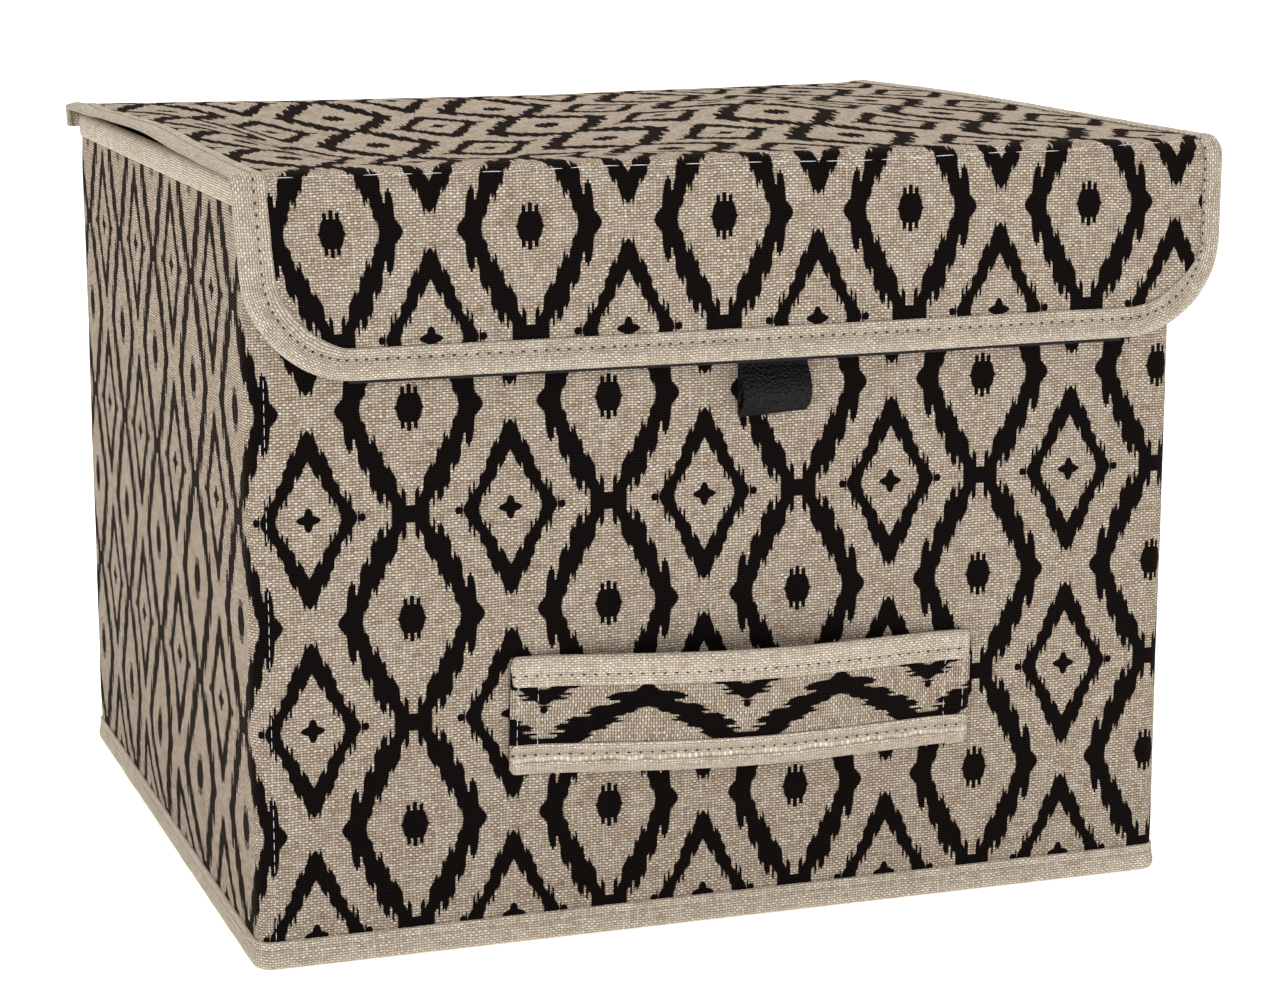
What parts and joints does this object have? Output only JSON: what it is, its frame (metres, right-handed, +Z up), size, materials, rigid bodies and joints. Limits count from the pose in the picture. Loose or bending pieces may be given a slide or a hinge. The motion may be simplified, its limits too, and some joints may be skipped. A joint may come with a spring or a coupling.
{
  "type": "fabric storage bin",
  "caption": "Box-shaped storage bin of printed cloth over stiff boards, with a cloth-hinged lid, a folding front flap, a pull tab, a strap handle and a loose base insert.",
  "frame": {"origin": "centre of the bottom's lower face, under the middle of the four walls", "axes": "+Z up, -Y is the front with the flap and handle, +X to the right seen from the front"},
  "size_m": [0.401, 0.3638, 0.3052],
  "materials": {
    "printed_linen": "plain weave with a dark ikat print",
    "plain_tape": "plain weave tape",
    "dark_lining": "matte non-woven",
    "chipboard": "matte grey board",
    "tab_leather": "fine grain, satin"
  },
  "bodies": {
    "bin": {"outer_cover": "printed_linen", "inner_lining": "dark_lining", "bottom_cover": "dark_lining", "bottom_lining": "dark_lining", "front_board": "chipboard", "rear_board": "chipboard", "left_board": "chipboard", "right_board": "chipboard", "rim_binding": "plain_tape", "bottom_binding": "plain_tape", "handle_strip": "printed_linen", "handle_backing": "dark_lining", "handle_upper_binding": "plain_tape", "handle_lower_binding": "plain_tape"},
    "lid": {"lid_board": "chipboard", "top_cover": "printed_linen", "top_lining": "dark_lining", "top_binding": "plain_tape"},
    "flap": {"flap_board": "chipboard", "tab_sewn_ends": "tab_leather"},
    "pull_tab": {"pull_tab": "tab_leather"},
    "base_insert": {"insert_board": "chipboard", "insert_cover": "dark_lining"}
  },
  "joints": [
    {"name": "lid_hinge", "type": "hinge", "parent": "bin", "child": "lid", "pos_m": [0.0045, 0.179, 0.2992], "axis": [-1, 0, 0], "range_deg": [0, 220], "deforming": ["top_cover", "top_binding"]},
    {"name": "flap_fold", "type": "hinge", "parent": "lid", "child": "flap", "pos_m": [0.0045, -0.1815, 0.302], "axis": [-1, 0, 0], "range_deg": [0, 180], "deforming": ["top_lining"]},
    {"name": "tab_swing", "type": "hinge", "parent": "flap", "child": "pull_tab", "pos_m": [0.016, -0.1771, 0.223], "axis": [-1, 0, 0], "range_deg": [0, 90]},
    {"name": "insert_lift", "type": "slide", "parent": "bin", "child": "base_insert", "axis": [0, 0, 1], "range_m": [0, 0.28]}
  ]
}
